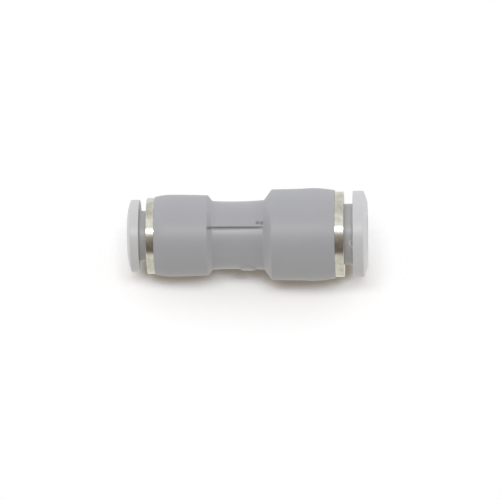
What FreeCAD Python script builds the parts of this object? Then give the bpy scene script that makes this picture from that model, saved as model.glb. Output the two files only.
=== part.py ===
"""Push-in reducing union that joins an 8 mm plastic tube to a 6 mm one.

It stands on the lip of its 8 mm end, with +Z along its axis, so z = 0 is the big lip and the top is the
small lip. Both ends hold the same set of pieces. Each is drawn in its own end's depth t, counted from that
end's lip inward, and the small set is then turned over on to the top. Outlines are (radius, depth) points.
"""
import FreeCAD, Part
import math
import os

# Tubes, and the radial clearances around them
big_tube_d = 8.0
small_tube_d = 6.0
seat_clearance = 0.06
bite_clearance = 0.02
sleeve_clearance = 0.12

# Release sleeves: a domed flange on a neck, with a barb and a thin nose inside
big_sleeve_wall = 0.63
small_sleeve_wall = 0.81
big_flange_reach = 2.02
small_flange_reach = 1.74
big_flange_depth = 2.27
small_flange_depth = 1.85
big_dome_height = 0.49
small_dome_height = 0.38
dome_bend_share = 0.6
dome_bend_rise = 0.45
lip_width = 0.6
flange_bevel = 0.2
lead_in = 0.25
barb_height = 0.3
barb_length = 0.6
barb_ramp = 1.0
nose_wall = 0.48
nose_bevel = 0.15
nose_to_claw_gap = 0.2

# Release stroke: the gap that shows between flange and guide ring, less what is left when pressed
big_release_gap = 1.38
small_release_gap = 1.14
pressed_gap = 0.12

# Guide rings: a head that shows at the mouth, and a shank pressed into the body
big_ring_band = 1.42
small_ring_band = 1.22
big_ring_inset = 0.22
small_ring_inset = 0.12
ring_length = 4.55
ring_lip_length = 2.1
ring_bevel = 0.2
guide_clearance = 0.08
barb_clearance = 0.3
barb_end_gap = 0.1
press_clearance = 0.02

# Lock claws: a stamped ring of sheet whose teeth lean inward and deeper
sheet_thickness = 0.25
tooth_reach = 1.2
tooth_angle = 43.0
tooth_slot_width = 0.5
big_tooth_count = 12
small_tooth_count = 10
claw_rim_clearance = 0.1

# Back rings and seals
back_ring_length = 2.15
bent_tooth_room = 0.1
back_ring_land_clearance = 0.25
seal_length = 2.0
seal_pocket_step = 0.3
seal_lip_width = 0.22
seal_lead = 0.45
seal_groove = 0.35

# Body: two swelling barrels with a hollowed waist between them
big_chamber_room = 2.2
small_chamber_room = 2.33
big_mouth_wall = 0.7
small_mouth_wall = 0.745
big_swell_length = 5.75
small_swell_length = 5.2
big_swell_bulge = 0.22
small_swell_bulge = 0.2
big_barrel_rise = 0.22
small_barrel_rise = 0.23
big_barrel_length = 9.88
small_barrel_length = 8.28
big_cone_length = 1.2
small_cone_length = 0.71
waist_length = 8.1
waist_wall = 1.215
big_waist_flare = 0.175
small_waist_flare = 0.1
shoulder_bevel = 0.2
foot_bevel = 0.25
bore_bevel = 0.3

# Way through the body: how deep the 8 mm tube goes, and the wall with its flow hole between the tubes
big_insertion = 18.2
web_thickness = 2.25
flow_hole_d = 4.5

# Marks of the mould on the waist, with angles about +Z from +X
parting_angle = -78.0
parting_groove_width = 0.3
parting_groove_depth = 0.18
pad_d = 2.7
pad_height = 0.28
pad_from_foot = 2.6
gate_angle = -69.5
gate_length = 1.3
gate_width = 0.5
gate_height = 0.1
gate_from_foot = 0.75


class End:
    """Radii and depths of one end, worked out from the tube outward and from the lip inward."""

    def __init__(self, tube_d, sleeve_wall, flange_reach, flange_depth, dome_height, release_gap,
                 ring_band, ring_inset, chamber_room, mouth_wall, tooth_count):
        self.tube_r = tube_d / 2
        self.bore_r = self.tube_r + sleeve_clearance
        self.neck_r = self.bore_r + sleeve_wall
        self.flange_r = self.neck_r + flange_reach
        self.barb_r = self.neck_r + barb_height
        self.nose_r = self.bore_r + nose_wall
        self.chamber_r = self.tube_r + chamber_room
        self.mouth_r = self.chamber_r + mouth_wall
        self.ring_head_r = self.mouth_r - ring_inset
        self.ring_bore_r = self.neck_r + guide_clearance
        self.cavity_r = self.barb_r + barb_clearance
        self.tooth_tip_r = self.tube_r + bite_clearance
        self.tooth_root_r = self.tube_r + tooth_reach
        self.pocket_r = self.chamber_r - seal_pocket_step
        self.seat_r = self.tube_r + seat_clearance
        self.tooth_count = tooth_count

        self.dome_height = dome_height
        self.flange_depth = flange_depth
        self.stroke = release_gap - pressed_gap
        self.ring_face = flange_depth + release_gap
        self.mouth = self.ring_face + ring_band
        self.ring_step = self.ring_face + ring_lip_length
        self.ring_end = self.ring_face + ring_length
        self.claw_back = self.ring_end + sheet_thickness
        self.barb_start = self.ring_step + barb_end_gap
        self.nose_end = self.tooth_depth(self.nose_r - nose_bevel) - nose_to_claw_gap
        self.pocket_start = self.claw_back + back_ring_length
        self.pocket_end = self.pocket_start + seal_length

    def tooth_depth(self, radius):
        """Depth of the teeth's mouth-side face at a radius."""
        return self.ring_end + (self.tooth_root_r - radius) * math.tan(math.radians(tooth_angle))


big = End(big_tube_d, big_sleeve_wall, big_flange_reach, big_flange_depth, big_dome_height,
          big_release_gap, big_ring_band, big_ring_inset, big_chamber_room, big_mouth_wall,
          big_tooth_count)
small = End(small_tube_d, small_sleeve_wall, small_flange_reach, small_flange_depth, small_dome_height,
            small_release_gap, small_ring_band, small_ring_inset, small_chamber_room, small_mouth_wall,
            small_tooth_count)

# Heights along the whole part
big_shoulder_z = big.mouth + big_barrel_length
big_foot_z = big_shoulder_z + big_cone_length
small_foot_z = big_foot_z + waist_length
waist_middle_z = big_foot_z + waist_length / 2
small_shoulder_z = small_foot_z + small_cone_length
small_mouth_z = small_shoulder_z + small_barrel_length
total_length = small_mouth_z + small.mouth
small_insertion = total_length - big_insertion - web_thickness

waist_r = big.seat_r + waist_wall
big_foot_r = waist_r + big_waist_flare
small_foot_r = waist_r + small_waist_flare
big_barrel_r = big.mouth_r + big_barrel_rise
small_barrel_r = small.mouth_r + small_barrel_rise


def point(radius, height):
    return FreeCAD.Vector(radius, 0, height)


def edge(start, end, bulge=0.0):
    """Straight edge, or an arc whose middle stands off its chord by the bulge, to the right of travel."""
    a = point(*start)
    b = point(*end)
    if bulge == 0:
        return Part.makeLine(a, b)
    along = (b - a).normalize()
    middle = (a + b) * 0.5 + FreeCAD.Vector(along.z, 0, -along.x) * bulge
    return Part.Arc(a, middle, b).toShape()


def revolve(edges):
    """Solid of revolution about Z inside a closed run of edges."""
    face = Part.Face(Part.Wire(edges))
    return face.revolve(FreeCAD.Vector(0, 0, 0), FreeCAD.Vector(0, 0, 1), 360)


def turned(corners):
    """Solid turned about Z from corners (radius, height), or (radius, height, bulge of the next edge)."""
    edges = []
    for here, after in zip(corners, corners[1:] + corners[:1]):
        edges.append(edge(here[:2], after[:2], here[2] if len(here) > 2 else 0.0))
    return revolve(edges)


def flipped(shape):
    """The shape turned over from the big end on to the small end."""
    turned_over = shape.copy()
    turned_over.rotate(FreeCAD.Vector(0, 0, 0), FreeCAD.Vector(1, 0, 0), 180)
    turned_over.translate(FreeCAD.Vector(0, 0, total_length))
    return turned_over


def release_sleeve(e):
    """Domed flange, neck, barb that stops behind the guide ring's lip, and nose that spreads the claw."""
    lip_r = e.bore_r + lead_in + lip_width
    rim_start = e.dome_height + flange_bevel
    barb_end = e.barb_start + barb_length
    dome_edge_r = e.flange_r - flange_bevel
    dome_bend_r = lip_r + (dome_edge_r - lip_r) * dome_bend_share
    return turned([
        (e.bore_r, lead_in),
        (e.bore_r + lead_in, 0),
        (lip_r, 0),
        (dome_bend_r, e.dome_height * dome_bend_rise),
        (dome_edge_r, e.dome_height),
        (e.flange_r, rim_start),
        (e.flange_r, e.flange_depth),
        (e.neck_r, e.flange_depth),
        (e.neck_r, e.barb_start),
        (e.barb_r, e.barb_start),
        (e.barb_r, barb_end),
        (e.nose_r, barb_end + barb_ramp),
        (e.nose_r, e.nose_end - nose_bevel),
        (e.nose_r - nose_bevel, e.nose_end),
        (e.bore_r, e.nose_end),
    ])


def guide_ring(e):
    """Head that covers the barrel's mouth, lip that guides the sleeve's neck, and pressed shank."""
    shank_r = e.chamber_r - press_clearance
    return turned([
        (e.ring_bore_r, e.ring_face + ring_bevel),
        (e.ring_bore_r + ring_bevel, e.ring_face),
        (e.ring_head_r - ring_bevel, e.ring_face),
        (e.ring_head_r, e.ring_face + ring_bevel),
        (e.ring_head_r, e.mouth),
        (shank_r, e.mouth),
        (shank_r, e.ring_end),
        (e.cavity_r, e.ring_end),
        (e.cavity_r, e.ring_step),
        (e.ring_bore_r, e.ring_step),
    ])


def lock_claw(e):
    """Flat rim held between guide ring and back ring, with teeth whose tips bite the tube."""
    angle = math.radians(tooth_angle)
    rim_r = e.chamber_r - claw_rim_clearance
    tip_depth = e.tooth_depth(e.tooth_tip_r)
    back_tip_r = e.tooth_tip_r + sheet_thickness * math.sin(angle)
    back_tip_depth = tip_depth + sheet_thickness * math.cos(angle)
    back_root_r = back_tip_r + (back_tip_depth - e.claw_back) / math.tan(angle)
    claw = turned([
        (rim_r, e.ring_end),
        (rim_r, e.claw_back),
        (back_root_r, e.claw_back),
        (back_tip_r, back_tip_depth),
        (e.tooth_tip_r, tip_depth),
        (e.tooth_root_r, e.ring_end),
    ])
    corner = FreeCAD.Vector(0, -tooth_slot_width / 2, e.ring_face)
    slot = Part.makeBox(e.tooth_root_r + tooth_slot_width / 2, tooth_slot_width, e.pocket_start, corner)
    for number in range(e.tooth_count):
        cutter = slot.copy()
        cutter.rotate(FreeCAD.Vector(0, 0, 0), FreeCAD.Vector(0, 0, 1), 360 * number / e.tooth_count)
        claw = claw.cut(cutter)
    return claw


def back_ring(e):
    """Ring that clamps the claw's rim, leaves room for the bent teeth, and keeps the seal in its pocket."""
    outer_r = e.chamber_r - press_clearance
    room_r = e.nose_r + sheet_thickness + bent_tooth_room
    mouth_r = max(e.tooth_root_r, room_r) + bent_tooth_room
    land_r = e.tube_r + back_ring_land_clearance
    room_end = e.nose_end + e.stroke + bent_tooth_room
    cone_end = e.claw_back + mouth_r - room_r + sheet_thickness
    return turned([
        (outer_r, e.claw_back),
        (outer_r, e.pocket_start),
        (land_r, e.pocket_start),
        (land_r, room_end),
        (room_r, room_end),
        (room_r, cone_end),
        (mouth_r, e.claw_back),
    ])


def seal(e):
    """Ring with two lips towards the tube and a groove between them."""
    outer_r = e.pocket_r - press_clearance
    lip_r = e.tube_r + bite_clearance
    lead_depth = e.pocket_start + seal_lead
    tail_depth = e.pocket_end - seal_lead
    middle = (lead_depth + tail_depth) / 2
    return turned([
        (outer_r, e.pocket_start),
        (outer_r, e.pocket_end),
        (lip_r + seal_lead, e.pocket_end),
        (lip_r, tail_depth),
        (lip_r, tail_depth - seal_lip_width),
        (lip_r + seal_groove, middle),
        (lip_r, lead_depth + seal_lip_width),
        (lip_r, lead_depth),
        (lip_r + seal_lead, e.pocket_start),
    ])


def socket(e, insertion):
    """Space inside one end of the body: chamber, seal pocket and tube seat."""
    return turned([
        (0, 0),
        (e.mouth_r, 0),
        (e.mouth_r, e.mouth - bore_bevel),
        (e.chamber_r + bore_bevel / 2, e.mouth - bore_bevel),
        (e.chamber_r + bore_bevel / 2, e.mouth),
        (e.chamber_r, e.mouth + bore_bevel / 2),
        (e.chamber_r, e.pocket_start),
        (e.pocket_r, e.pocket_start),
        (e.pocket_r, e.pocket_end),
        (e.seat_r + bore_bevel, e.pocket_end),
        (e.seat_r, e.pocket_end + bore_bevel),
        (e.seat_r, insertion),
        (0, insertion),
    ])


def part_way(start, end, distance):
    """The (radius, height) point that lies a distance from start on the way to end."""
    share = distance / math.dist(start, end)
    return (start[0] + (end[0] - start[0]) * share, start[1] + (end[1] - start[1]) * share)


def body_blank():
    """Outside of the body, solid through, with its shoulders and the feet of its cones bevelled."""
    big_shoulder = (big_barrel_r, big_shoulder_z)
    big_foot = (big_foot_r, big_foot_z)
    small_foot = (small_foot_r, small_foot_z)
    small_shoulder = (small_barrel_r, small_shoulder_z)
    return turned([
        (0, big.mouth),
        (big.mouth_r, big.mouth, big_swell_bulge),
        (big_barrel_r, big.mouth + big_swell_length),
        (big_barrel_r, big_shoulder_z - shoulder_bevel),
        part_way(big_shoulder, big_foot, shoulder_bevel),
        part_way(big_foot, big_shoulder, foot_bevel),
        (big_foot_r, big_foot_z + foot_bevel),
        (waist_r, waist_middle_z),
        (small_foot_r, small_foot_z - foot_bevel),
        part_way(small_foot, small_shoulder, foot_bevel),
        part_way(small_shoulder, small_foot, shoulder_bevel),
        (small_barrel_r, small_shoulder_z + shoulder_bevel),
        (small_barrel_r, small_mouth_z - small_swell_length, small_swell_bulge),
        (small.mouth_r, small_mouth_z),
        (0, small_mouth_z),
    ])


def placed_at(shape, angle):
    """The shape turned about Z by an angle in degrees."""
    shape.rotate(FreeCAD.Vector(0, 0, 0), FreeCAD.Vector(0, 0, 1), angle)
    return shape


def parting_grooves():
    """Two shallow grooves along the waist where the mould's halves meet."""
    depth = parting_groove_depth
    reach = small_barrel_r + big_barrel_r
    core = turned([
        (0, big_foot_z),
        (big_foot_r - depth, big_foot_z),
        (waist_r - depth, waist_middle_z),
        (small_foot_r - depth, small_foot_z),
        (small_barrel_r - depth, small_shoulder_z),
        (0, small_shoulder_z),
    ])
    corner = FreeCAD.Vector(-reach, -parting_groove_width / 2, big_foot_z)
    slab = Part.makeBox(2 * reach, parting_groove_width, small_shoulder_z - big_foot_z, corner)
    return placed_at(slab, parting_angle).cut(core)


def waist_pad():
    """Low round pad in the middle of one mould half."""
    top_r = waist_r + pad_height
    foot = FreeCAD.Vector(big.seat_r + seat_clearance, 0, big_foot_z + pad_from_foot)
    post = Part.makeCylinder(pad_d / 2, top_r, foot, FreeCAD.Vector(1, 0, 0))
    limit = Part.makeCylinder(top_r, waist_length, point(0, big_foot_z))
    return placed_at(post.common(limit), parting_angle - 90)


def gate_mark():
    """Low round-ended scar left where the gate was cut off, beside the parting line."""
    top_r = big_foot_r + gate_height
    start = point(big.seat_r + seat_clearance, big_foot_z + gate_from_foot)
    out = FreeCAD.Vector(1, 0, 0)
    near = Part.makeCylinder(gate_width / 2, top_r, start, out)
    far = near.copy()
    run = gate_length - gate_width
    far.translate(FreeCAD.Vector(0, 0, run))
    bar = Part.makeBox(top_r, gate_width, run, start - FreeCAD.Vector(0, gate_width / 2, 0))
    limit = Part.makeCylinder(top_r, waist_length, point(0, big_foot_z))
    return placed_at(near.fuse(bar).fuse(far).common(limit), gate_angle)


def body():
    """The moulding: barrels, waist, both sockets, the wall between the tubes and its flow hole."""
    solid = body_blank().fuse(waist_pad()).fuse(gate_mark())
    solid = solid.cut(parting_grooves())
    solid = solid.cut(socket(big, big_insertion))
    solid = solid.cut(flipped(socket(small, small_insertion)))
    flow_hole = Part.makeCylinder(flow_hole_d / 2, total_length)
    return solid.cut(flow_hole)


pieces = {
    "body": body(),
    "big_release_sleeve": release_sleeve(big),
    "small_release_sleeve": flipped(release_sleeve(small)),
    "big_guide_ring": guide_ring(big),
    "small_guide_ring": flipped(guide_ring(small)),
    "big_lock_claw": lock_claw(big),
    "small_lock_claw": flipped(lock_claw(small)),
    "big_back_ring": back_ring(big),
    "small_back_ring": flipped(back_ring(small)),
    "big_seal": seal(big),
    "small_seal": flipped(seal(small)),
}

os.makedirs("parts", exist_ok=True)
for node, shape in pieces.items():
    shape.exportStep(f"parts/{node}.step")
    print(node, "solids", len(shape.Solids), "valid", shape.isValid(), "volume mm3", round(shape.Volume, 2))
print("length", round(total_length, 3), "small insertion", round(small_insertion, 3))
print("strokes", round(big.stroke, 3), round(small.stroke, 3))
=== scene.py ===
"""Dresses the push-in reducing union: moulded body, seals, claws, guide rings and release sleeves.

Sizes are in millimetres and are turned into metres where a mesh is made. The coupling stands on its larger
end with +Z along its axis. Outlines are (radius, height) points; angles run about +Z from +X.
"""

import bpy
import numpy as np
from mathutils import Matrix, Vector


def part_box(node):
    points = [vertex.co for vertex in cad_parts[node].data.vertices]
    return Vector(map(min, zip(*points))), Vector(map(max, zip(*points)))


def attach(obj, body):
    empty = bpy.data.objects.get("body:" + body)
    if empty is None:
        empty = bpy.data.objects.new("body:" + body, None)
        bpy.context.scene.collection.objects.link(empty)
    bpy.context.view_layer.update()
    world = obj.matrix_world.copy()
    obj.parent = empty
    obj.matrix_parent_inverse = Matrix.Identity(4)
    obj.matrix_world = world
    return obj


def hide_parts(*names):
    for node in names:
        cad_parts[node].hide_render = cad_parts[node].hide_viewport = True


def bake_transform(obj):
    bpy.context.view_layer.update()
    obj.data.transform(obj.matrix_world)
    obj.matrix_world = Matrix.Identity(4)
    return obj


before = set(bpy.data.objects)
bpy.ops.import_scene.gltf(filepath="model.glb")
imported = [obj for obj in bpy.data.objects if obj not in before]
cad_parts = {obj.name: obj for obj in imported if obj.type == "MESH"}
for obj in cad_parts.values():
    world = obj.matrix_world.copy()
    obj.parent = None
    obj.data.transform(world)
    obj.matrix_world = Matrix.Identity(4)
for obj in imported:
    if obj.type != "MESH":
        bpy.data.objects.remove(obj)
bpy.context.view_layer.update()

# Body: one moulding of grey glass-filled polyester, two swelling barrels with a hollowed waist between them.
# The mould's halves meet in a shallow groove along the waist, which is painted darker as shade, and the tube
# sockets run in from both ends.
MM = 0.001


def heights_of(node):
    """Lowest and highest height of a solid, in millimetres."""
    low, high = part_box(node)
    return low.z / MM, high.z / MM


def rounded(corners, arc_points=7):
    """Closed outline through (radius, height, round) corners.

    A corner with a round becomes an arc that touches both of its sides: the centre lies on the corner's
    bisector, and the arc's points turn evenly from one touching point to the other. One more point lies half
    a round further along each side. A corner whose round is 0 stays one point.
    """
    tiny = 1e-9
    corner = np.array(corners, float)
    here = corner[:, :2]
    size = corner[:, 2:3]
    back = np.roll(here, 1, axis=0) - here
    ahead = np.roll(here, -1, axis=0) - here
    back /= np.linalg.norm(back, axis=1, keepdims=True)
    ahead /= np.linalg.norm(ahead, axis=1, keepdims=True)
    half = np.arccos(np.clip((back * ahead).sum(axis=1, keepdims=True), -1, 1)) / 2
    half = np.minimum(half, np.pi / 2 - tiny)
    touch = size / np.tan(half)
    bisector = back + ahead
    bisector /= np.linalg.norm(bisector, axis=1, keepdims=True) + tiny
    centre = here + bisector * size / np.sin(half)
    whole = (np.pi - 2 * half)[:, :, None]
    share = np.linspace(0, 1, arc_points)[None, :, None]
    first = (here + back * touch - centre)[:, None, :]
    last = (here + ahead * touch - centre)[:, None, :]
    turning = np.sin((1 - share) * whole) * first + np.sin(share * whole) * last
    arc = centre[:, None, :] + turning / np.sin(whole)
    before = (here + back * (touch + size / 2))[:, None, :]
    after = (here + ahead * (touch + size / 2))[:, None, :]
    points = np.concatenate([before, arc, after], axis=1)
    keep = np.broadcast_to(size > 0, points.shape[:2]).copy()
    sharp = size[:, 0] == 0
    points[sharp, 0] = here[sharp]
    keep[sharp, 0] = True
    return points[keep]


def unrounded(points):
    """Corners of round 0 at (radius, height) points."""
    return [(radius, height, 0) for radius, height in points]


def cubic(t, first, first_slope, last, last_slope):
    """Cubic of t whose value and slope are the first ones at 0 and the last ones at 1."""
    return ((2 * t ** 3 - 3 * t ** 2 + 1) * first + (t ** 3 - 2 * t ** 2 + t) * first_slope
            + (3 * t ** 2 - 2 * t ** 3) * last + (t ** 3 - t ** 2) * last_slope)


def smooth_through(stations, count):
    """Points at even heights on a smooth curve through (radius, height) stations.

    The slope at a station is that of the parabola through it and its two neighbours, and at an end that of
    the last chord. Between two stations the radius is the cubic of their radii and slopes.
    """
    radii, heights = np.array(stations, float).T
    slopes = np.gradient(radii, heights)
    at = np.linspace(heights[0], heights[-1], count)
    left = np.clip(np.searchsorted(heights, at, side="right") - 1, 0, len(heights) - 2)
    span = heights[left + 1] - heights[left]
    t = (at - heights[left]) / span
    radius = cubic(t, radii[left], span * slopes[left], radii[left + 1], span * slopes[left + 1])
    return np.stack([radius, at], axis=1)


def mesh_piece(name, points, faces):
    """Smooth mesh object in the scene, over (x, y, z) points in millimetres and faces of their numbers."""
    mesh = bpy.data.meshes.new(name)
    mesh.from_pydata((points.reshape(-1, 3) * MM).tolist(), [], faces, shade_flat=False)
    piece = bpy.data.objects.new(name, mesh)
    bpy.context.scene.collection.objects.link(piece)
    return piece


def turned(name, outline, angles, relief=None):
    """Closed skin of a turned piece over the points of its outline and the angles of a full turn.

    A point is (radius x cosine of the angle, radius x sine of the angle, height). relief(angle, height,
    radius) gives millimetres that are first added to the radius.
    """
    radius = np.repeat(outline[:, :1], len(angles), axis=1)
    height = np.repeat(outline[:, 1:], len(angles), axis=1)
    angle = np.repeat(angles[None, :], len(outline), axis=0)
    if relief is not None:
        radius = radius + relief(angle, height, radius)
    points = np.stack([radius * np.cos(angle), radius * np.sin(angle), height], axis=-1)
    here = np.arange(radius.size).reshape(radius.shape)
    beside = np.roll(here, -1, axis=1)
    quads = np.stack([here, beside, np.roll(beside, -1, axis=0), np.roll(here, -1, axis=0)], axis=-1)
    return mesh_piece(name, points, quads.reshape(-1, 4).tolist())


def step_up(value, edge, width):
    """0 below the edge and 1 above it, with a smooth rise of the given width."""
    t = np.clip((value - edge) / width + 0.5, 0, 1)
    return t * t * (3 - 2 * t)


body_low, body_high = heights_of("body")
big_barrel = [(6.9, body_low), (7.03, body_low + 0.85), (7.15, body_low + 1.75), (7.25, body_low + 3.13),
              (7.16, body_low + 5.5), (7.12, body_low + 7.9), (7.1, body_low + 9.88)]
small_barrel_foot = body_high - 8.28
small_barrel = [(6.275, small_barrel_foot), (6.36, body_high - 5.6), (6.4, body_high - 3.2),
                (6.365, body_high - 1.6), (6.3, body_high - 1.04), (6.2, body_high - 0.55),
                (6.075, body_high)]
barrel_points = 30
waist_points = 96
big_foot_z = body_low + 11.08
small_foot_z = body_high - 8.99
waist_middle = (big_foot_z + small_foot_z) / 2
waist_half = (small_foot_z - big_foot_z) / 2
waist_big_r = 5.45
waist_taper = 0.075
waist_hollow = 0.55
waist_r = waist_big_r - waist_taper / 2 - waist_hollow / 4
waist_from_z = big_foot_z + 0.35
waist_to_z = small_foot_z - 0.3
waist_z = np.linspace(waist_from_z, waist_to_z, waist_points)
waist_share = (waist_z - big_foot_z) / (small_foot_z - big_foot_z)
waist_curve = waist_big_r - waist_taper * waist_share - waist_hollow * waist_share * (1 - waist_share)
small_chamber_r = 5.33
small_chamber_z = 27.51
small_pocket_r = 5.03
small_pocket_z = 25.51
small_seat_r = 3.06
small_stop_z = 20.45
airway_r = 2.25
big_stop_z = 18.2
big_seat_r = 4.06
big_pocket_z = 12.6
big_pocket_r = 5.9
big_chamber_z = 10.6
big_chamber_r = 6.2
mouth_bevel = 0.15
seat_bevel = 0.3
body_corners = [
    (*big_barrel[0], 0.06),
    *unrounded(smooth_through(big_barrel, barrel_points)[1:-1]),
    (*big_barrel[-1], 0.25),
    (waist_big_r, big_foot_z, 0.3),
    *unrounded(zip(waist_curve, waist_z)),
    (waist_big_r - waist_taper, small_foot_z, 0.25),
    (*small_barrel[0], 0.2),
    *unrounded(smooth_through(small_barrel, barrel_points)[1:-1]),
    (*small_barrel[-1], 0.06),
    (small_chamber_r + mouth_bevel, body_high, 0.05),
    (small_chamber_r, body_high - mouth_bevel, 0.05),
    (small_chamber_r, small_chamber_z, 0.05),
    (small_pocket_r, small_chamber_z, 0.05),
    (small_pocket_r, small_pocket_z, 0.08),
    (small_seat_r + seat_bevel, small_pocket_z, 0.06),
    (small_seat_r, small_pocket_z - seat_bevel, 0.06),
    (small_seat_r, small_stop_z, 0.08),
    (airway_r, small_stop_z, 0.06),
    (airway_r, big_stop_z, 0.06),
    (big_seat_r, big_stop_z, 0.08),
    (big_seat_r, big_pocket_z + seat_bevel, 0.06),
    (big_seat_r + seat_bevel, big_pocket_z, 0.06),
    (big_pocket_r, big_pocket_z, 0.08),
    (big_pocket_r, big_chamber_z, 0.05),
    (big_chamber_r, big_chamber_z, 0.05),
    (big_chamber_r, body_low + mouth_bevel, 0.05),
    (big_chamber_r + mouth_bevel, body_low, 0.05),
]
skin_margin = 0.05
parting = np.radians(-78.0)
groove_from_z = big_foot_z + 0.1
groove_from_fade = 0.3
groove_to_z = small_barrel_foot - 0.07
groove_to_fade = 0.2
groove_width_big = 0.3
groove_width_small = 0.42
groove_depth = 0.24
groove_lower_wall = 0.08
groove_upper_wall = 0.16
pad_angle = parting - np.pi / 2
pad_z = big_foot_z + 2.6
pad_r = 1.25
pad_height = 0.26
pad_wall = 0.6
gate_angle = np.radians(-69.9)
gate_spots = [(16.4, -0.008), (17.04, 0.008)]
nub_r = 0.13
nub_height = 0.32
nub_wall = 0.14
pit_r = 0.245
pit_depth = 0.24
pit_wall = 0.12


def away(angle, centre):
    """Signed difference of two angles, between -pi and pi."""
    return (angle - centre + np.pi) % (2 * np.pi) - np.pi


def mould_marks(angle, height, radius):
    """Relief of the mould on the waist: parting grooves, round pad and gate scar.

    The groove follows a plane along the axis: across is the distance from it. It is a dip whose upper wall is
    slack and whose lower wall is steep, and it gets wider towards the smaller barrel. The distance from a
    round mark is the root of two squares: the waist's radius times the angles' difference, and the heights'
    difference. The pad is a low cap, and the scar is two small nubs, each in a shallow pit.
    """
    outside = radius > waist_r - skin_margin
    begun = step_up(height, groove_from_z, groove_from_fade)
    ended = step_up(height, groove_to_z, groove_to_fade)
    across = -np.sign(np.sin(angle)) * radius * np.cos(angle) - waist_r * np.cos(parting)
    half = np.interp(height, [big_foot_z, small_foot_z], [groove_width_big / 2, groove_width_small / 2])
    dip = step_up(across, -half, groove_lower_wall) * (1 - step_up(across, half, groove_upper_wall))
    relief = -groove_depth * dip * begun * (1 - ended)
    off_pad = np.hypot(waist_r * away(angle, pad_angle), height - pad_z)
    relief += pad_height * (1 - step_up(off_pad, pad_r, pad_wall))
    for spot_z, spot_turn in gate_spots:
        off_spot = np.hypot(waist_r * away(angle, gate_angle + spot_turn), height - spot_z)
        relief += nub_height * (1 - step_up(off_spot, nub_r, nub_wall))
        relief -= pit_depth * (1 - step_up(off_spot, pit_r, pit_wall))
    return relief * outside


def body_angles():
    """Angles round the body in radians, two degrees apart and closer across the mould's marks."""
    even_step = 2.0
    finest = 0.25
    pad_step = 0.8
    gate_step = 0.5
    past_last = 0.01
    groove_before = 4.5
    groove_after = 3.0
    pad_reach = 17
    gate_reach = 5
    even = np.arange(-180, 180, even_step)
    groove = np.arange(-groove_before, groove_after + past_last, finest) + np.degrees(parting)
    pad = np.arange(-pad_reach, pad_reach + past_last, pad_step) + np.degrees(pad_angle)
    gate = np.arange(-gate_reach, gate_reach + past_last, gate_step) + np.degrees(gate_angle)
    degrees = (np.concatenate([even, groove, groove + 180, pad, gate]) + 180) % 360 - 180
    return np.radians(np.unique(np.round(degrees / finest) * finest))


body = turned("moulded_body", rounded(body_corners, arc_points=5), body_angles(), mould_marks)
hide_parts("body")
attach(body, "housing")


def feed(tree, socket, value):
    """Gives a socket its value: a link from another socket, or else a number or colour of its own."""
    if isinstance(value, bpy.types.NodeSocket):
        tree.links.new(value, socket)
    else:
        socket.default_value = value


def maths(tree, operation, *values):
    """Math node of one operation, fed by sockets and numbers."""
    node = tree.nodes.new("ShaderNodeMath")
    node.operation = operation
    for socket, value in zip(node.inputs, values):
        feed(tree, socket, value)
    return node.outputs[0]


def spread(tree, value, from_min, from_max, to_min=0.0, to_max=1.0):
    """Map Range node: value from one range to another, held at the ends."""
    node = tree.nodes.new("ShaderNodeMapRange")
    bounds = {"Value": value, "From Min": from_min, "From Max": from_max, "To Min": to_min, "To Max": to_max}
    for socket, bound in bounds.items():
        feed(tree, node.inputs[socket], bound)
    return node.outputs[0]


def blend_color(tree, share, first, second):
    """Mix of two colours: the first where share is 0, the second where it is 1."""
    node = tree.nodes.new("ShaderNodeMix")
    node.data_type = "RGBA"
    tree.links.new(share, node.inputs["Factor"])
    colors = [socket for socket in node.inputs if socket.type == "RGBA"]
    for socket, value in zip(colors, (first, second)):
        feed(tree, socket, value)
    return [socket for socket in node.outputs if socket.type == "RGBA"][0]


def object_place(tree):
    """Object coordinates, in metres."""
    return tree.nodes.new("ShaderNodeTexCoord").outputs["Object"]


def object_axes(tree):
    """X, Y and Z of the Object coordinates, in metres."""
    split = tree.nodes.new("ShaderNodeSeparateXYZ")
    tree.links.new(object_place(tree), split.inputs[0])
    return split.outputs


def cloud(tree, scale, detail=2.0):
    """Noise value over Object coordinates; its spots are about 1 / scale metres wide."""
    noise = tree.nodes.new("ShaderNodeTexNoise")
    noise.inputs["Detail"].default_value = detail
    feed(tree, noise.inputs["Scale"], scale)
    tree.links.new(object_place(tree), noise.inputs["Vector"])
    return noise.outputs[0]


def bumped(tree, height, depth, strength, under=None):
    """Bump node: normal for a height of 0 to 1 that stands for a depth in millimetres."""
    bump = tree.nodes.new("ShaderNodeBump")
    bump.inputs["Distance"].default_value = depth * MM
    tree.links.new(height, bump.inputs["Height"])
    feed(tree, bump.inputs["Strength"], strength)
    if under is not None:
        tree.links.new(under, bump.inputs["Normal"])
    return bump.outputs["Normal"]


def new_group(name, inputs, outputs):
    """Shader node group with float or colour inputs {name: default} and outputs {name: kind}."""
    group = bpy.data.node_groups.new(name, "ShaderNodeTree")
    for socket, value in inputs.items():
        kind = "NodeSocketColor" if isinstance(value, tuple) else "NodeSocketFloat"
        group.interface.new_socket(socket, in_out="INPUT", socket_type=kind).default_value = value
    for socket, kind in outputs.items():
        group.interface.new_socket(socket, in_out="OUTPUT", socket_type=kind)
    return group, group.nodes.new("NodeGroupInput").outputs, group.nodes.new("NodeGroupOutput").inputs


def placed_group(tree, group, values):
    """Group node in a material, with its own values on its inputs; returns its outputs."""
    node = tree.nodes.new("ShaderNodeGroup")
    node.node_tree = group
    for socket, value in values.items():
        node.inputs[socket].default_value = value
    return node.outputs


def shader_of(name, metallic=0.0):
    """Material, its node tree and the sockets of its Principled shader."""
    material = bpy.data.materials.new(name)
    material.use_nodes = True
    sockets = material.node_tree.nodes["Principled BSDF"].inputs
    sockets["Metallic"].default_value = metallic
    return material, material.node_tree, sockets


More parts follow.
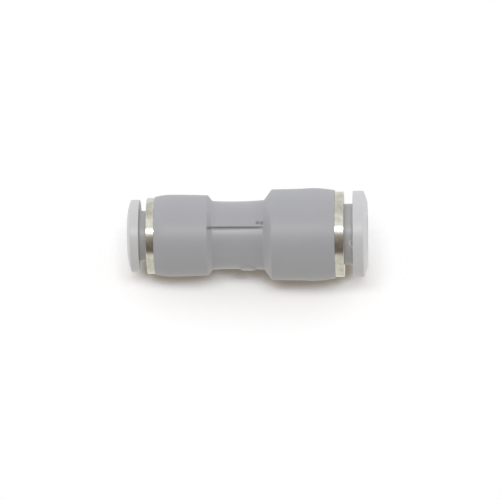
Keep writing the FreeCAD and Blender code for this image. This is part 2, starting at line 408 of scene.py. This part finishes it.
turned_place, _, out = new_group(
    "turned_place", {}, {"Radius": "NodeSocketFloat", "Height": "NodeSocketFloat"})
axes = object_axes(turned_place)
x_squared = maths(turned_place, "POWER", axes["X"], 2.0)
y_squared = maths(turned_place, "POWER", axes["Y"], 2.0)
from_axis = maths(turned_place, "SQRT", maths(turned_place, "ADD", x_squared, y_squared))
turned_place.links.new(maths(turned_place, "DIVIDE", from_axis, MM), out["Radius"])
turned_place.links.new(maths(turned_place, "DIVIDE", axes["Z"], MM), out["Height"])

finish_kinds = {"Color": "NodeSocketColor", "Roughness": "NodeSocketFloat", "Normal": "NodeSocketVector"}
flow_scale = 300.0
grain_depth = 0.012
grain_dulling = 0.12
moulded_skin, given, out = new_group("moulded_skin", {
    "Color": (0.5, 0.5, 0.5, 1), "Mottle": 0.04, "Roughness": 0.4, "Grain Scale": 5000.0,
    "Grain Strength": 0.3,
}, finish_kinds)
flow = maths(moulded_skin, "SUBTRACT", cloud(moulded_skin, flow_scale, detail=3.0), 0.5)
tint = moulded_skin.nodes.new("ShaderNodeVectorMath")
tint.operation = "SCALE"
moulded_skin.links.new(given["Color"], tint.inputs[0])
tone = maths(moulded_skin, "ADD", maths(moulded_skin, "MULTIPLY", flow, given["Mottle"]), 1.0)
moulded_skin.links.new(tone, tint.inputs["Scale"])
moulded_skin.links.new(tint.outputs[0], out["Color"])
grain = cloud(moulded_skin, given["Grain Scale"], detail=3.0)
dull = maths(moulded_skin, "MULTIPLY", maths(moulded_skin, "SUBTRACT", grain, 0.5), grain_dulling)
moulded_skin.links.new(maths(moulded_skin, "ADD", given["Roughness"], dull), out["Roughness"])
moulded_skin.links.new(bumped(moulded_skin, grain, grain_depth, given["Grain Strength"]), out["Normal"])

# Painted shade: the parting groove, the gate scar's pits and the strip of the small cone beside the groove
# are coloured dark where shade falls in them.
groove_shade_color = (0.2, 0.195, 0.2, 1)
least_skin_r = 4.7
full_skin_r = 4.8
groove_shade_from = 0.04
groove_shade_full = 0.14
cone_shade_from = 0.02
cone_shade_full = 0.17
waist_end_fade = 0.4
rub_scale = 500.0
rub_from = 0.25
rub_full = 0.75
polish_least = 0.07
polish_most = 0.14
wave_scale = 700.0
wave_depth = 0.009
body_finish, tree, into = shader_of("grey_polyester")
skin = placed_group(tree, moulded_skin, {
    "Color": (0.338, 0.341, 0.36, 1), "Mottle": 0.06, "Roughness": 0.44, "Grain Scale": 5200.0,
    "Grain Strength": 0.35,
})
place = placed_group(tree, turned_place, {})
off_middle = maths(tree, "ABSOLUTE", maths(tree, "SUBTRACT", place["Height"], waist_middle))
on_waist = spread(tree, off_middle, waist_half, waist_half - waist_end_fade)
on_skin = spread(tree, place["Radius"], least_skin_r, full_skin_r)
sunk = spread(tree, place["Radius"], waist_r - groove_shade_from, waist_r - groove_shade_full)
in_groove = maths(tree, "MULTIPLY", maths(tree, "MULTIPLY", on_skin, sunk), on_waist)
axes = object_axes(tree)
beside = maths(tree, "MULTIPLY", maths(tree, "SIGN", axes["Y"]), maths(tree, "DIVIDE", axes["X"], MM))
off_plane = maths(tree, "ABSOLUTE", maths(tree, "ADD", beside, waist_r * np.cos(parting)))
near_plane = spread(tree, off_plane, groove_width_small / 2, groove_width_big / 2 - groove_shade_from)
below_corner = spread(tree, place["Height"], small_barrel_foot - cone_shade_from,
                      small_barrel_foot - cone_shade_full)
above_waist = spread(tree, place["Height"], small_foot_z - waist_end_fade, small_foot_z)
on_cone = maths(tree, "MULTIPLY", maths(tree, "MULTIPLY", below_corner, on_skin), above_waist)
# The mask below marks the painted shade in the groove, the pits and on the cone.
painted_groove_shade = maths(tree, "MAXIMUM", in_groove, maths(tree, "MULTIPLY", near_plane, on_cone))
tree.links.new(blend_color(tree, painted_groove_shade, skin["Color"], groove_shade_color), into["Base Color"])
rubbed = spread(tree, cloud(tree, rub_scale), rub_from, rub_full, polish_least, polish_most)
polish = maths(tree, "MULTIPLY", on_waist, rubbed)
tree.links.new(maths(tree, "SUBTRACT", skin["Roughness"], polish), into["Roughness"])
waves = bumped(tree, cloud(tree, wave_scale), wave_depth, on_waist, skin["Normal"])
tree.links.new(waves, into["Normal"])
body.data.materials.append(body_finish)

# Seals: nitrile rings pressed from black rubber, each with two lips towards the tube. They lie loose in the
# pockets behind the back rings, and their skin is matt with a faint grey bloom.
rubber_black = (0.022, 0.022, 0.024, 1)


def finished(name, group, values, metallic=0.0):
    """Material whose colour, roughness and normal come from a finish group with its own values."""
    material, tree, into = shader_of(name, metallic)
    finish = placed_group(tree, group, values)
    for effect, socket in (("Color", "Base Color"), ("Roughness", "Roughness"), ("Normal", "Normal")):
        tree.links.new(finish[effect], into[socket])
    return material


def refinish(nodes, material):
    """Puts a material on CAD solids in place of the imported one."""
    for node in nodes:
        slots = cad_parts[node].data.materials
        slots.clear()
        slots.append(material)


rubber = finished("nitrile", moulded_skin, {
    "Color": rubber_black, "Mottle": 0.7, "Roughness": 0.58, "Grain Scale": 9000.0, "Grain Strength": 0.5,
})
refinish(["big_seal", "small_seal"], rubber)

# Back rings: moulded from white acetal. Each is pressed in behind a claw, clamps the claw's rim against the
# guide ring and keeps the seal in its pocket.
acetal_white = (0.72, 0.72, 0.69, 1)
white = finished("white_acetal", moulded_skin, {
    "Color": acetal_white, "Mottle": 0.05, "Roughness": 0.38, "Grain Scale": 3500.0, "Grain Strength": 0.2,
})
refinish(["big_back_ring", "small_back_ring"], white)

# Lock claws: rings stamped from stainless sheet and hardened, with teeth that lean inward and bite the tube.
# The rim is clamped between guide ring and back ring. In the coupling the teeth give way to the nose of a
# pressed sleeve; here they are drawn at rest.
# Rolling and the press have left the faces slightly stained.
stain_from = 0.32
stain_full = 0.68
stain_smear = 0.07
metal_wave_depth = 0.02
worn_metal, given, out = new_group("worn_metal", {
    "Color": (0.6, 0.6, 0.6, 1), "Stain": (0.5, 0.48, 0.4, 1), "Roughness": 0.2, "Spot Scale": 900.0,
    "Wave Strength": 0.5,
}, finish_kinds)
spots = spread(worn_metal, cloud(worn_metal, given["Spot Scale"], detail=4.0), stain_from, stain_full)
worn_metal.links.new(blend_color(worn_metal, spots, given["Color"], given["Stain"]), out["Color"])
smear = maths(worn_metal, "MULTIPLY", spots, stain_smear)
worn_metal.links.new(maths(worn_metal, "ADD", given["Roughness"], smear), out["Roughness"])
waves = bumped(worn_metal, cloud(worn_metal, given["Spot Scale"]), metal_wave_depth, given["Wave Strength"])
worn_metal.links.new(waves, out["Normal"])

steel = finished("stainless_sheet", worn_metal, {
    "Color": (0.58, 0.57, 0.56, 1), "Stain": (0.44, 0.43, 0.41, 1), "Roughness": 0.26, "Spot Scale": 1400.0,
    "Wave Strength": 0.4,
}, metallic=1.0)
big_clamp_z = heights_of("big_guide_ring")[1]
small_clamp_z = heights_of("small_guide_ring")[0]
sheet_thickness = 0.25
tooth_slope = np.tan(np.radians(43.0))
tooth_bend = 0.12
slot_half = 0.25
tooth_rows = 14
tooth_columns = 7
stamped_edge = np.radians(35.0)


def lock_claw(name, node, face_z, inward, rim_r, root_r, tip_r, teeth):
    """Toothed ring of sheet: flat at the rim, softly bent at the root, then straight to the teeth's tips.

    With x = root_r - radius, the face's depth is half the slope times (x + root of x squared plus bend
    squared), and the back is the face moved by the sheet's thickness along its normal. Each tooth spans what
    its two straight slots leave: their half angle is the arcsine of half a slot's width over the radius.
    """
    radius = np.concatenate([[rim_r], np.linspace(root_r + slot_half, tip_r, tooth_rows)])
    from_root = root_r - radius
    bend = np.hypot(from_root, tooth_bend)
    depth = tooth_slope / 2 * (from_root + bend)
    lean = np.arctan(tooth_slope / 2 * (1 + from_root / bend))
    radii = np.stack([radius, radius + sheet_thickness * np.sin(lean)])[:, None, :, None]
    depths = np.stack([depth, depth + sheet_thickness * np.cos(lean)])[:, None, :, None]
    pitch = 2 * np.pi / teeth
    half = np.arcsin(slot_half / radii)
    across = np.linspace(0, 1, tooth_columns) * (pitch - 2 * half)
    angle = np.arange(teeth)[:, None, None] * pitch + half + across
    height = face_z + inward * np.broadcast_to(depths, angle.shape)
    points = np.stack([radii * np.cos(angle), radii * np.sin(angle), height], axis=-1)
    face, back = np.arange(angle.size).reshape(angle.shape)
    next_face = np.roll(face, -1, axis=0)[:, :, 0]
    next_back = np.roll(back, -1, axis=0)[:, :, 0]
    sides = {
        "tooth faces": (face[:, :-1, :-1], face[:, 1:, :-1], face[:, 1:, 1:], face[:, :-1, 1:]),
        "tooth backs": (back[:, :-1, :-1], back[:, :-1, 1:], back[:, 1:, 1:], back[:, 1:, :-1]),
        "rim faces": (face[:, 0, -1], face[:, 1, -1], next_face[:, 1], next_face[:, 0]),
        "rim backs": (back[:, 0, -1], next_back[:, 0], next_back[:, 1], back[:, 1, -1]),
        "rim edge at a tooth": (face[:, 0, :-1], face[:, 0, 1:], back[:, 0, 1:], back[:, 0, :-1]),
        "rim edge at a slot": (face[:, 0, -1], next_face[:, 0], next_back[:, 0], back[:, 0, -1]),
        "slot ends": (face[:, 1, -1], back[:, 1, -1], next_back[:, 1], next_face[:, 1]),
        "tooth tips": (face[:, -1, :-1], back[:, -1, :-1], back[:, -1, 1:], face[:, -1, 1:]),
        "first slot walls": (face[:, 1:-1, 0], back[:, 1:-1, 0], back[:, 2:, 0], face[:, 2:, 0]),
        "last slot walls": (face[:, 1:-1, -1], face[:, 2:, -1], back[:, 2:, -1], back[:, 1:-1, -1]),
    }
    quads = np.concatenate([np.stack(side, axis=-1).reshape(-1, 4) for side in sides.values()])
    claw = mesh_piece(name, points, quads[:, ::inward].tolist())
    claw.data.set_sharp_from_angle(angle=stamped_edge)
    claw.data.materials.append(steel)
    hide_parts(node)
    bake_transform(claw)


lock_claw("big_claw", "big_lock_claw", face_z=big_clamp_z, inward=1, rim_r=6.1, root_r=5.2,
          tip_r=4.02, teeth=12)
lock_claw("small_claw", "small_lock_claw", face_z=small_clamp_z, inward=-1, rim_r=5.23,
          root_r=4.2, tip_r=3.02, teeth=10)

# Guide rings: turned from brass and nickel plated, pressed into the barrels so that only the head shows. The
# plate has yellowed in spots, and its faint waves break up what it mirrors.
nickel = finished("nickel_plate", worn_metal, {
    "Color": (0.67, 0.66, 0.59, 1), "Stain": (0.51, 0.5, 0.42, 1), "Roughness": 0.11, "Spot Scale": 1100.0,
    "Wave Strength": 0.45,
}, metallic=1.0)
full_turn = np.linspace(0, 2 * np.pi, 192, endpoint=False)


def guide_ring(name, node, inward, head_r, shank_r, bore_r, cavity_r, face_z, mouth_z, step_z, end_z):
    """Turned ring: head that stands on the barrel's mouth, guiding lip, cavity and shank."""
    outline = rounded([
        (bore_r, face_z, 0.12), (bore_r, step_z, 0.05), (cavity_r, step_z, 0.05), (cavity_r, end_z, 0.04),
        (shank_r, end_z, 0.15), (shank_r, mouth_z, 0), (head_r, mouth_z, 0.03), (head_r, face_z, 0.09),
    ])
    ring = turned(name, outline[::-inward], full_turn)
    ring.data.materials.append(nickel)
    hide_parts(node)
    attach(ring, "housing")


guide_ring("big_ring", "big_guide_ring", inward=1, head_r=6.68, shank_r=6.18, bore_r=4.83, cavity_r=5.35,
           face_z=3.65, mouth_z=body_low, step_z=5.75, end_z=big_clamp_z)
guide_ring("small_ring", "small_guide_ring", inward=-1, head_r=5.955, shank_r=5.31, bore_r=4.01,
           cavity_r=4.53, face_z=34.46, mouth_z=body_high, step_z=32.36, end_z=small_clamp_z)

# Release sleeves: collars moulded from pale acetal, snapped into the guide rings by a barb. The flange is
# pressed by hand, and the nose at the other end spreads the claw.
acetal_pale = (0.512, 0.516, 0.528, 1)
acetal = finished("pale_acetal", moulded_skin, {
    "Color": acetal_pale, "Mottle": 0.03, "Roughness": 0.36, "Grain Scale": 3000.0, "Grain Strength": 0.2,
})
small_lip_z = heights_of("small_release_sleeve")[1]
big_neck_r = 4.75
lip_width = 0.85
rim_width = 0.28
rim_height = 0.2
rim_inset = 0.1
rim_drop = 0.07
dome_points = 12
dome_straight = 0.72
barb_length = 0.6
ramp_end = 1.6


def release_sleeve(name, node, body_name, lip_z, inward, bore_r, neck_r, flange_r, nose_r, barb_r,
                   dome_height, flange_depth, barb_start, nose_end):
    """Collar whose depths are counted from its lip: dome, rim, neck, barb, ramp and nose.

    The dome's depth is its height times a sum of two parts: one that grows with the way out from the lip, and
    one that grows with the way's square.
    """
    def at(radius, depth, size):
        """Corner of the outline: a radius, a depth counted inward from the lip, and a round."""
        return (radius, lip_z + inward * depth, size)

    dome_r = np.linspace(bore_r + lip_width, flange_r - rim_width, dome_points)
    way_out = np.linspace(0, 1, dome_points)
    dome = dome_height * (dome_straight * way_out + (1 - dome_straight) * way_out ** 2)
    outline = rounded([
        at(bore_r, 0, 0.22),
        *[at(radius, depth, 0) for radius, depth in zip(dome_r, dome)],
        at(flange_r - rim_inset, dome_height + rim_drop, 0.08),
        at(flange_r, dome_height + rim_height, 0.08),
        at(flange_r, flange_depth, 0.12),
        at(neck_r, flange_depth, 0.15),
        at(neck_r, barb_start, 0.04),
        at(barb_r, barb_start, 0.05),
        at(barb_r, barb_start + barb_length, 0.05),
        at(nose_r, barb_start + ramp_end, 0.1),
        at(nose_r, nose_end, 0.14),
        at(bore_r, nose_end, 0.05),
    ])
    sleeve = turned(name, outline[::inward], full_turn)
    sleeve.data.materials.append(acetal)
    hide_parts(node)
    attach(sleeve, body_name)


release_sleeve("big_collar", "big_release_sleeve", "big_sleeve", lip_z=0.0, inward=1, bore_r=4.12,
               neck_r=big_neck_r, flange_r=6.77, nose_r=4.6, barb_r=5.05, dome_height=0.49,
               flange_depth=2.27, barb_start=5.85, nose_end=8.7)
release_sleeve("small_collar", "small_release_sleeve", "small_sleeve", lip_z=small_lip_z, inward=-1,
               bore_r=3.12, neck_r=3.93, flange_r=5.67, nose_r=3.6, barb_r=4.23, dome_height=0.38,
               flange_depth=1.85, barb_start=5.19, nose_end=8.0)

# Collar flash: a thin curl of acetal left by the mould, lying on the larger collar's neck. It runs up the
# back of the flange to its rim, and is thin enough to go into the gap when the collar is pressed.
flash_width = 0.17
flash_thick = 0.07
flash_steps = 8
flash_sides = 10
flash_end_power = 8
flash_least_taper = 0.05
flash_climb_r = big_neck_r + 0.11
flash_climb_width = 0.2
flash_route = [(-100.5, big_neck_r, 2.6), (-103.0, big_neck_r, 2.7), (-106.0, big_neck_r, 2.78),
               (-109.5, big_neck_r, 2.7), (-113.0, big_neck_r, 2.58), (-116.0, 4.76, 2.44),
               (-116.5, 4.85, 2.31), (-114.0, 5.4, 2.3), (-111.5, 6.1, 2.3), (-110.5, 6.66, 2.28)]


def capped_tube(name, rings):
    """Mesh piece over a stack of rings, each end closed by the middle point of its ring."""
    rows, columns = rings.shape[:2]
    here = np.arange(rows * columns).reshape(rows, columns)
    beside = np.roll(here, -1, axis=1)
    faces = np.stack([here[:-1], here[1:], beside[1:], beside[:-1]], axis=-1).reshape(-1, 4).tolist()
    first = np.full(columns, here.size)
    last = first + 1
    faces += np.stack([here[0], beside[0], first], axis=1).tolist()
    faces += np.stack([beside[-1], here[-1], last], axis=1).tolist()
    middles = rings[[0, -1]].mean(axis=1)
    return mesh_piece(name, np.concatenate([rings.reshape(-1, 3), middles]), faces)


def ribbon(name, route, width, thick):
    """Flat strand along (angle, radius, height) stations on a cubic curve through them.

    At each point of the curve the strand spreads sideways by half its width along the cross product of its
    direction and the surface's normal, and rises by its thickness along that normal. The normal points away
    from the axis on the neck and along the axis on the flange. Both sizes are multiplied by the root of
    1 - (2 x share - 1) to the power 8, where share runs from 0 to 1 along the strand. What stands under the
    root is never less than a twentieth, so the two ends are thin and still have a size.
    """
    station = np.array(route)
    last = len(station) - 1
    at = np.linspace(0, last, flash_steps * last + 1)
    left = np.minimum(at.astype(int), last - 1)
    slopes = np.gradient(station, axis=0)
    line = cubic((at - left)[:, None], station[left], slopes[left], station[left + 1], slopes[left + 1])
    angle = np.radians(line[:, 0])
    radius = line[:, 1:2]
    axis = np.array([0, 0, 1.0])
    outward = np.stack([np.cos(angle), np.sin(angle), 0 * angle], axis=1)
    points = outward * radius + axis * line[:, 2:3]
    go = np.gradient(points, axis=0)
    go /= np.linalg.norm(go, axis=1, keepdims=True)
    climb = step_up(radius, flash_climb_r, flash_climb_width)
    normal = (1 - climb) * outward + climb * axis
    side = np.cross(go, normal)
    side /= np.linalg.norm(side, axis=1, keepdims=True)
    normal = np.cross(side, go)
    thinned = 1 - (2 * at / last - 1) ** flash_end_power
    taper = np.sqrt(np.clip(thinned, flash_least_taper, 1))[:, None, None]
    turn = np.linspace(0, 2 * np.pi, flash_sides, endpoint=False)[None, :, None]
    rings = (points[:, None] + side[:, None] * np.cos(turn) * (width / 2 * taper)
             + normal[:, None] * (1 + np.sin(turn)) * (thick / 2 * taper))
    return capped_tube(name, rings)


flash = ribbon("collar_flash", flash_route, flash_width, flash_thick)
flash_pale = (0.86, 0.86, 0.89, 1)
thin_acetal = finished("flash_acetal", moulded_skin, {
    "Color": flash_pale, "Mottle": 0.1, "Roughness": 0.3, "Grain Scale": 6000.0, "Grain Strength": 0.3,
})
flash.data.materials.append(thin_acetal)
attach(flash, "big_sleeve")

# Camera: level with the coupling's middle and turned on its side, as the photo has the axis lying across. It
# looks through a long lens and is moved sideways until the coupling lies where the photo has it.
frame_px = 500
px_per_mm = 6.39
distance = 750.0
object_px = (248.0, 235.0)
axis_lift = np.radians(0.5)
towards_big_end = np.radians(2.2)
middle = Vector((0, 0, small_lip_z / 2)) * MM
ahead = Vector((0, np.cos(towards_big_end), np.sin(towards_big_end)))
level = Vector((0, np.sin(towards_big_end), -np.cos(towards_big_end)))
upward = Vector((1, 0, 0))
right = level * np.cos(axis_lift) - upward * np.sin(axis_lift)
up = upward * np.cos(axis_lift) + level * np.sin(axis_lift)
off_right = (frame_px / 2 - object_px[0]) / px_per_mm * MM
off_up = (object_px[1] - frame_px / 2) / px_per_mm * MM
eye = bpy.data.objects.new("eye", bpy.data.cameras.new("eye"))
bpy.context.scene.collection.objects.link(eye)
eye_turn = Matrix((right, up, -ahead)).transposed()
eye_at = middle - ahead * distance * MM + right * off_right + up * off_up
eye.matrix_world = Matrix.Translation(eye_at) @ eye_turn.to_4x4()
eye.data.sensor_width = 36.0
eye.data.lens = eye.data.sensor_width * distance / (frame_px / px_per_mm)
eye.data.clip_start = 0.01
eye.data.clip_end = 10.0
bpy.context.scene.camera = eye

# Table and floor: pale sheets that only the camera sees and that catch the coupling's shadow. The table lies
# square to the camera's view, close behind both barrels, and the floor is under the larger end. Both are
# clear from behind. The table's colour also holds a painted brown contact shadow on the coupling's low side.
sheet_size = 400.0
table_gap = 0.015
floor_gap = 0.03
paper_white = (1.1, 1.11, 1.12, 1)
painted_shadow_brown = (0.56, 0.51, 0.44, 1)
table_top_from = -0.5
table_top_to = 4.0
table_end_from = 20.5
table_end_to = 25.0
contact_full_x = -5.2
contact_reach_big = 4.25
contact_reach_small = 3.75
contact_reach_waist = 0.7
waist_reach_from = 3.6
waist_reach_to = 0.4
big_end_fade = (0.5, 3.3)
small_end_fade = (37.6, 35.2)
open_light = 0.97
closed_light = 0.7
shade_samples = 16
widest_r, widest_z = max(big_barrel)
table_at = Vector((0, widest_r + table_gap, widest_z))
floor_at = Vector((0, 0, -floor_gap))


def paper(name):
    """White paper that is clear from behind.

    Returns the material, its tree, its colour's socket, the mask that is 1 from behind, and the socket that
    makes it clear where it is 1.
    """
    material = bpy.data.materials.new(name)
    material.use_nodes = True
    tree = material.node_tree
    tree.nodes.remove(tree.nodes["Principled BSDF"])
    lit = tree.nodes.new("ShaderNodeBsdfDiffuse")
    lit.inputs["Color"].default_value = paper_white
    clear = tree.nodes.new("ShaderNodeBsdfTransparent")
    behind = tree.nodes.new("ShaderNodeNewGeometry").outputs["Backfacing"]
    shown = tree.nodes.new("ShaderNodeMixShader")
    tree.links.new(behind, shown.inputs[0])
    tree.links.new(lit.outputs[0], shown.inputs[1])
    tree.links.new(clear.outputs[0], shown.inputs[2])
    tree.links.new(shown.outputs[0], tree.nodes["Material Output"].inputs["Surface"])
    return material, tree, lit.inputs["Color"], behind, shown.inputs[0]


def stage_sheet(name, centre, across, along, material):
    """Flat square sheet about a point, in the plane of two directions.

    Its corners are the point plus or minus half the sheet's size along each direction, and its front faces
    the way that across x along points.
    """
    half = sheet_size / 2
    corners = [centre + (across * a + along * b) * half for a, b in ((-1, -1), (1, -1), (1, 1), (-1, 1))]
    sheet = mesh_piece(name, np.array(corners), [(0, 1, 2, 3)])
    sheet.visible_diffuse = False
    sheet.visible_glossy = False
    sheet.visible_transmission = False
    sheet.visible_shadow = False
    sheet.data.materials.append(material)


table_paper, tree, color, behind, clearness = paper("table_paper")
along_axis = placed_group(tree, turned_place, {})["Height"]
off_waist = maths(tree, "ABSOLUTE", maths(tree, "SUBTRACT", along_axis, waist_middle))
barrel_reach = spread(tree, along_axis, big_foot_z, small_foot_z, contact_reach_big, contact_reach_small)
waist_reach = spread(tree, off_waist, waist_reach_from, waist_reach_to, 0.0, contact_reach_waist)
towards_light = tree.nodes.new("ShaderNodeCombineXYZ")
for socket, value in zip(towards_light.inputs, (upward - ahead).normalized()):
    socket.default_value = value
nearness = tree.nodes.new("ShaderNodeAmbientOcclusion")
nearness.samples = shade_samples
tree.links.new(towards_light.outputs[0], nearness.inputs["Normal"])
reach = maths(tree, "MULTIPLY", maths(tree, "ADD", barrel_reach, waist_reach), MM)
tree.links.new(reach, nearness.inputs["Distance"])
between_ends = maths(tree, "MULTIPLY", spread(tree, along_axis, *big_end_fade),
                     spread(tree, along_axis, *small_end_fade))
shaded = spread(tree, nearness.outputs["AO"], open_light, closed_light)
across_axis = object_axes(tree)["X"]
low_side = spread(tree, across_axis, 0.0, contact_full_x * MM)
closed = maths(tree, "MULTIPLY", maths(tree, "MULTIPLY", shaded, between_ends), low_side)
# Painted shadow: the table turns brown where ambient occlusion towards the light is low, on the low side
# between the ends.
tree.links.new(blend_color(tree, closed, paper_white, painted_shadow_brown), color)
past_top = spread(tree, across_axis, table_top_from * MM, table_top_to * MM)
off_middle = maths(tree, "ABSOLUTE", maths(tree, "SUBTRACT", along_axis, small_lip_z / 2))
past_end = spread(tree, off_middle, table_end_from, table_end_to)
tree.links.new(maths(tree, "MAXIMUM", behind, maths(tree, "MAXIMUM", past_top, past_end)), clearness)
stage_sheet("table", table_at, upward, -level, table_paper)
stage_sheet("floor", floor_at, Vector((1, 0, 0)), Vector((0, 1, 0)), paper("floor_paper")[0])

# Light: an even pale room with a dim brown stretch beside the camera, and one long soft lamp just above the
# camera. Angles are measured from the camera's side (-Y) towards the side that is up in the photo (+X), and
# the room is brighter towards both ends of the axis.
warm = (0.745, 0.74, 0.705, 1)
pale = (0.8, 0.8, 0.81, 1)
glow = (0.9, 0.9, 0.92, 1)
shade = (0.72, 0.71, 0.7, 1)
room_tones = [(-179, warm), (-62, warm), (-57, (0.56, 0.53, 0.49, 1)), (-50, (0.18, 0.153, 0.138, 1)),
              (-38, (0.175, 0.148, 0.132, 1)), (-22, (0.23, 0.2, 0.18, 1)), (-10, (0.31, 0.282, 0.262, 1)),
              (-1, (0.42, 0.39, 0.37, 1)), (5, pale), (20, (0.85, 0.85, 0.86, 1)), (30, glow), (50, glow),
              (64, shade), (85, shade), (110, pale), (165, pale)]
room_strength = 1.2
end_strength = 1.75
end_from = 0.5
end_to = 0.85
lamp_from = 9.8
lamp_to = 17.6
lamp_distance = 0.6
lamp_length = 0.35
lamp_power = 1.0
world = bpy.data.worlds.new("studio")
bpy.context.scene.world = world
world.use_nodes = True
tree = world.node_tree
towards = tree.nodes.new("ShaderNodeTexCoord")
parts = tree.nodes.new("ShaderNodeSeparateXYZ")
tree.links.new(towards.outputs["Generated"], parts.inputs[0])
sweep = maths(tree, "ARCTAN2", parts.outputs["X"], maths(tree, "MULTIPLY", parts.outputs["Y"], -1.0))
share = spread(tree, maths(tree, "DEGREES", sweep), -180.0, 180.0)
room = tree.nodes.new("ShaderNodeValToRGB")
ramp = room.color_ramp
ramp.interpolation = "LINEAR"
ramp.elements[0].color = warm
ramp.elements[1].color = warm
for angle, tone in room_tones:
    ramp.elements.new((angle + 180) / 360).color = tone
tree.links.new(share, room.inputs[0])
room_light = tree.nodes["Background"]
to_end = maths(tree, "ABSOLUTE", parts.outputs["Z"])
strength = spread(tree, to_end, end_from, end_to, room_strength, end_strength)
tree.links.new(strength, room_light.inputs["Strength"])
tree.links.new(room.outputs[0], room_light.inputs["Color"])
white_room = tree.nodes.new("ShaderNodeBackground")
white_room.inputs["Color"].default_value = (1, 1, 1, 1)
ray = tree.nodes.new("ShaderNodeLightPath")
choice = tree.nodes.new("ShaderNodeMixShader")
tree.links.new(ray.outputs["Is Camera Ray"], choice.inputs[0])
tree.links.new(room_light.outputs[0], choice.inputs[1])
tree.links.new(white_room.outputs[0], choice.inputs[2])
tree.links.new(choice.outputs[0], tree.nodes["World Output"].inputs["Surface"])

lamp = bpy.data.objects.new("softbox", bpy.data.lights.new("softbox", "AREA"))
bpy.context.scene.collection.objects.link(lamp)
lamp.data.shape = "RECTANGLE"
lamp.data.size = 2 * lamp_distance * np.tan(np.radians(lamp_to - lamp_from) / 2)
lamp.data.size_y = lamp_length
lamp.data.energy = lamp_power
lamp_angle = np.radians((lamp_from + lamp_to) / 2)
lamp_side = Vector((np.sin(lamp_angle), -np.cos(lamp_angle), 0))
lamp_long = Vector((0, 0, -1))
lamp_turn = Matrix((lamp_side.cross(lamp_long), lamp_long, lamp_side)).transposed()
lamp.matrix_world = Matrix.Translation(middle + lamp_side * lamp_distance) @ lamp_turn.to_4x4()
bpy.context.scene.view_settings.view_transform = "Standard"
